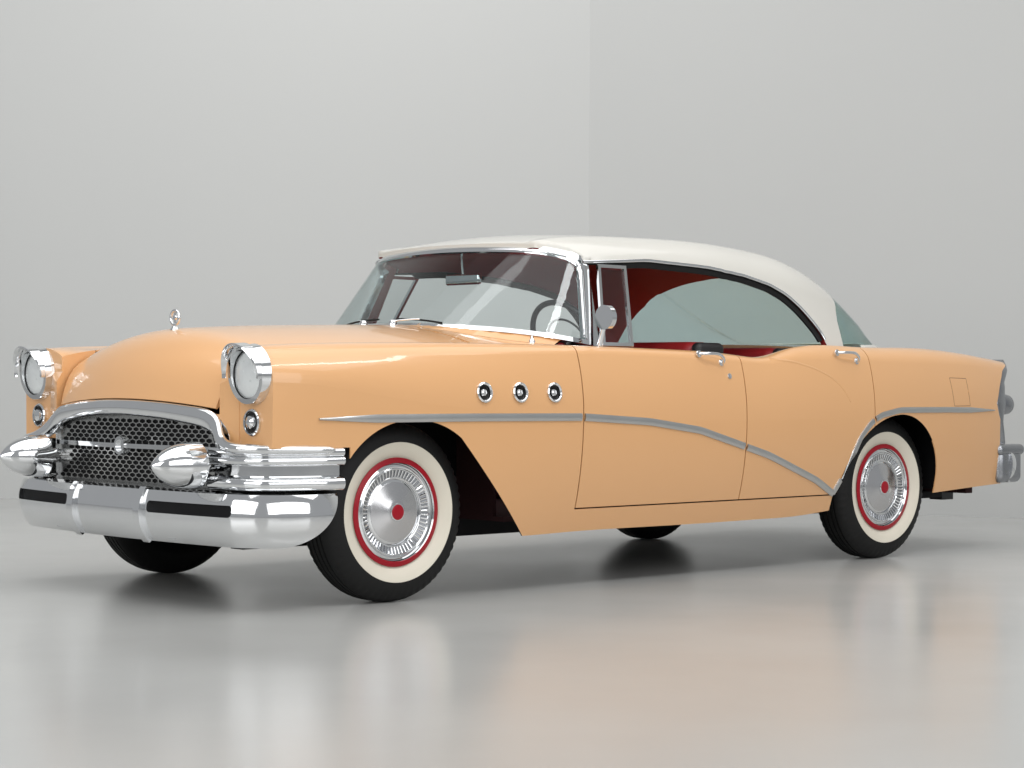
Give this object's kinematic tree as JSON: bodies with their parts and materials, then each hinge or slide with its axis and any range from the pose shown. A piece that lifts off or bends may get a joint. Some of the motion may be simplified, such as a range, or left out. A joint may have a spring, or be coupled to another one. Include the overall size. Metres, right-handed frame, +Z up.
{
  "type": "four-door hardtop car",
  "caption": "Full-size 1950s pillarless four-door hardtop saloon with panoramic windscreen, chrome bumpers, steering road wheels and opening doors, hood and trunk lid.",
  "frame": {"origin": "on the ground under the middle of the car", "axes": "+X to the rear along the car, +Y to the right side, +Z up"},
  "size_m": [5.2499, 1.9058, 1.541],
  "materials": {
    "body_paint": "gloss",
    "roof_paint": "gloss",
    "chrome": "polished",
    "glass": "clear",
    "lamp_glass": "clear",
    "red_lens": "clear",
    "black_metal": "satin",
    "dark_steel": "satin",
    "cast": "matte",
    "seat_trim": "satin",
    "wheel_red": "gloss",
    "tyre": "matte",
    "black_plastic": "gloss"
  },
  "bodies": {
    "chassis": {"bulkheads": "black_metal", "bumper_guards": "chrome", "bumper_side_bars": "chrome", "cowl": "body_paint", "dashboard": "black_metal", "engine": "cast", "exhaust": "dark_steel", "floor_pan": "black_metal", "frame_rails": "black_metal", "front_bumper": "chrome", "front_seat": "seat_trim", "front_suspension": "dark_steel", "front_wing_left": "body_paint", "front_wing_right": "body_paint", "fuel_tank": "black_metal", "grille_mesh": "chrome", "grille_surround": "chrome", "headlamp_bezels": "chrome", "headlamp_lenses": "lamp_glass", "hinge_posts": "black_metal", "parking_lamps": "chrome", "portholes": "chrome", "quarter_left": "body_paint", "quarter_right": "body_paint", "radiator_support": "black_metal", "rear_axle": "dark_steel", "rear_bumper": "chrome", "rear_deck": "body_paint", "rear_seat": "seat_trim", "rear_window": "glass", "rockers": "body_paint", "roof": "roof_paint", "tail_lamp_housings": "chrome", "tail_lamp_lenses": "red_lens", "windshield": "glass", "windshield_frame": "chrome"},
    "hood": {"hood": "body_paint", "hood_ornament": "chrome"},
    "trunk_lid": {"trunk_lid": "body_paint"},
    "door_front_left": {"front_door_left": "body_paint", "vent_frame_left": "chrome", "vent_glass_left": "glass", "door_mirror": "chrome"},
    "door_front_right": {"front_door_right": "body_paint", "vent_frame_right": "chrome", "vent_glass_right": "glass"},
    "door_rear_left": {"rear_door_left": "body_paint"},
    "door_rear_right": {"rear_door_right": "body_paint"},
    "steering_wheel": {"steering_wheel": "black_plastic"},
    "knuckle_left": {"knuckle_left": "dark_steel"},
    "knuckle_right": {"knuckle_right": "dark_steel"},
    "road_wheel_front_left": {"wheel_front_left": "wheel_red", "tyre_front_left": "tyre"},
    "road_wheel_front_right": {"wheel_front_right": "wheel_red", "tyre_front_right": "tyre"},
    "road_wheel_rear_left": {"wheel_rear_left": "wheel_red", "tyre_rear_left": "tyre"},
    "road_wheel_rear_right": {"wheel_rear_right": "wheel_red", "tyre_rear_right": "tyre"}
  },
  "joints": [
    {"name": "steer_left", "type": "hinge", "parent": "chassis", "child": "knuckle_left", "pos_m": [-1.69, -0.652, 0.35], "axis": [0, 0, 1], "range_deg": [-30, 30]},
    {"name": "steer_right", "type": "hinge", "parent": "chassis", "child": "knuckle_right", "pos_m": [-1.69, 0.652, 0.35], "axis": [0, 0, 1], "range_deg": [-30, 30]},
    {"name": "steering_wheel_turn", "type": "hinge", "parent": "chassis", "child": "steering_wheel", "pos_m": [-0.36, -0.38, 1.01], "axis": [0.8829, 0, 0.4695], "range_deg": [-600, 600]},
    {"name": "wheel_spin_front_left", "type": "hinge", "parent": "knuckle_left", "child": "road_wheel_front_left", "pos_m": [-1.69, -0.7495, 0.35], "axis": [0, -1, 0], "continuous": true},
    {"name": "wheel_spin_front_right", "type": "hinge", "parent": "knuckle_right", "child": "road_wheel_front_right", "pos_m": [-1.69, 0.7495, 0.35], "axis": [0, -1, 0], "continuous": true},
    {"name": "wheel_spin_rear_left", "type": "hinge", "parent": "chassis", "child": "road_wheel_rear_left", "pos_m": [1.409, -0.7495, 0.35], "axis": [0, -1, 0], "continuous": true},
    {"name": "wheel_spin_rear_right", "type": "hinge", "parent": "chassis", "child": "road_wheel_rear_right", "pos_m": [1.409, 0.7495, 0.35], "axis": [0, -1, 0], "continuous": true},
    {"name": "door_front_left_swing", "type": "hinge", "parent": "chassis", "child": "door_front_left", "pos_m": [-0.74, -0.908, 0.67], "axis": [0, 0, -1], "range_deg": [0, 65]},
    {"name": "door_front_right_swing", "type": "hinge", "parent": "chassis", "child": "door_front_right", "pos_m": [-0.74, 0.908, 0.67], "axis": [0, 0, 1], "range_deg": [0, 65]},
    {"name": "door_rear_left_swing", "type": "hinge", "parent": "chassis", "child": "door_rear_left", "pos_m": [0.29, -0.908, 0.67], "axis": [0, 0, -1], "range_deg": [0, 65]},
    {"name": "door_rear_right_swing", "type": "hinge", "parent": "chassis", "child": "door_rear_right", "pos_m": [0.29, 0.908, 0.67], "axis": [0, 0, 1], "range_deg": [0, 65]},
    {"name": "hood_lift", "type": "hinge", "parent": "chassis", "child": "hood", "pos_m": [-1.112, 0, 1.104], "axis": [0, 1, 0], "range_deg": [0, 50]},
    {"name": "trunk_lift", "type": "hinge", "parent": "chassis", "child": "trunk_lid", "pos_m": [1.794, 0, 1.058], "axis": [0, -1, 0], "range_deg": [0, 60]}
  ],
  "couplings": [
    {"joint": "steer_right", "follows": "steer_left", "ratio": 1},
    {"joint": "steering_wheel_turn", "follows": "steer_left", "ratio": 18}
  ]
}
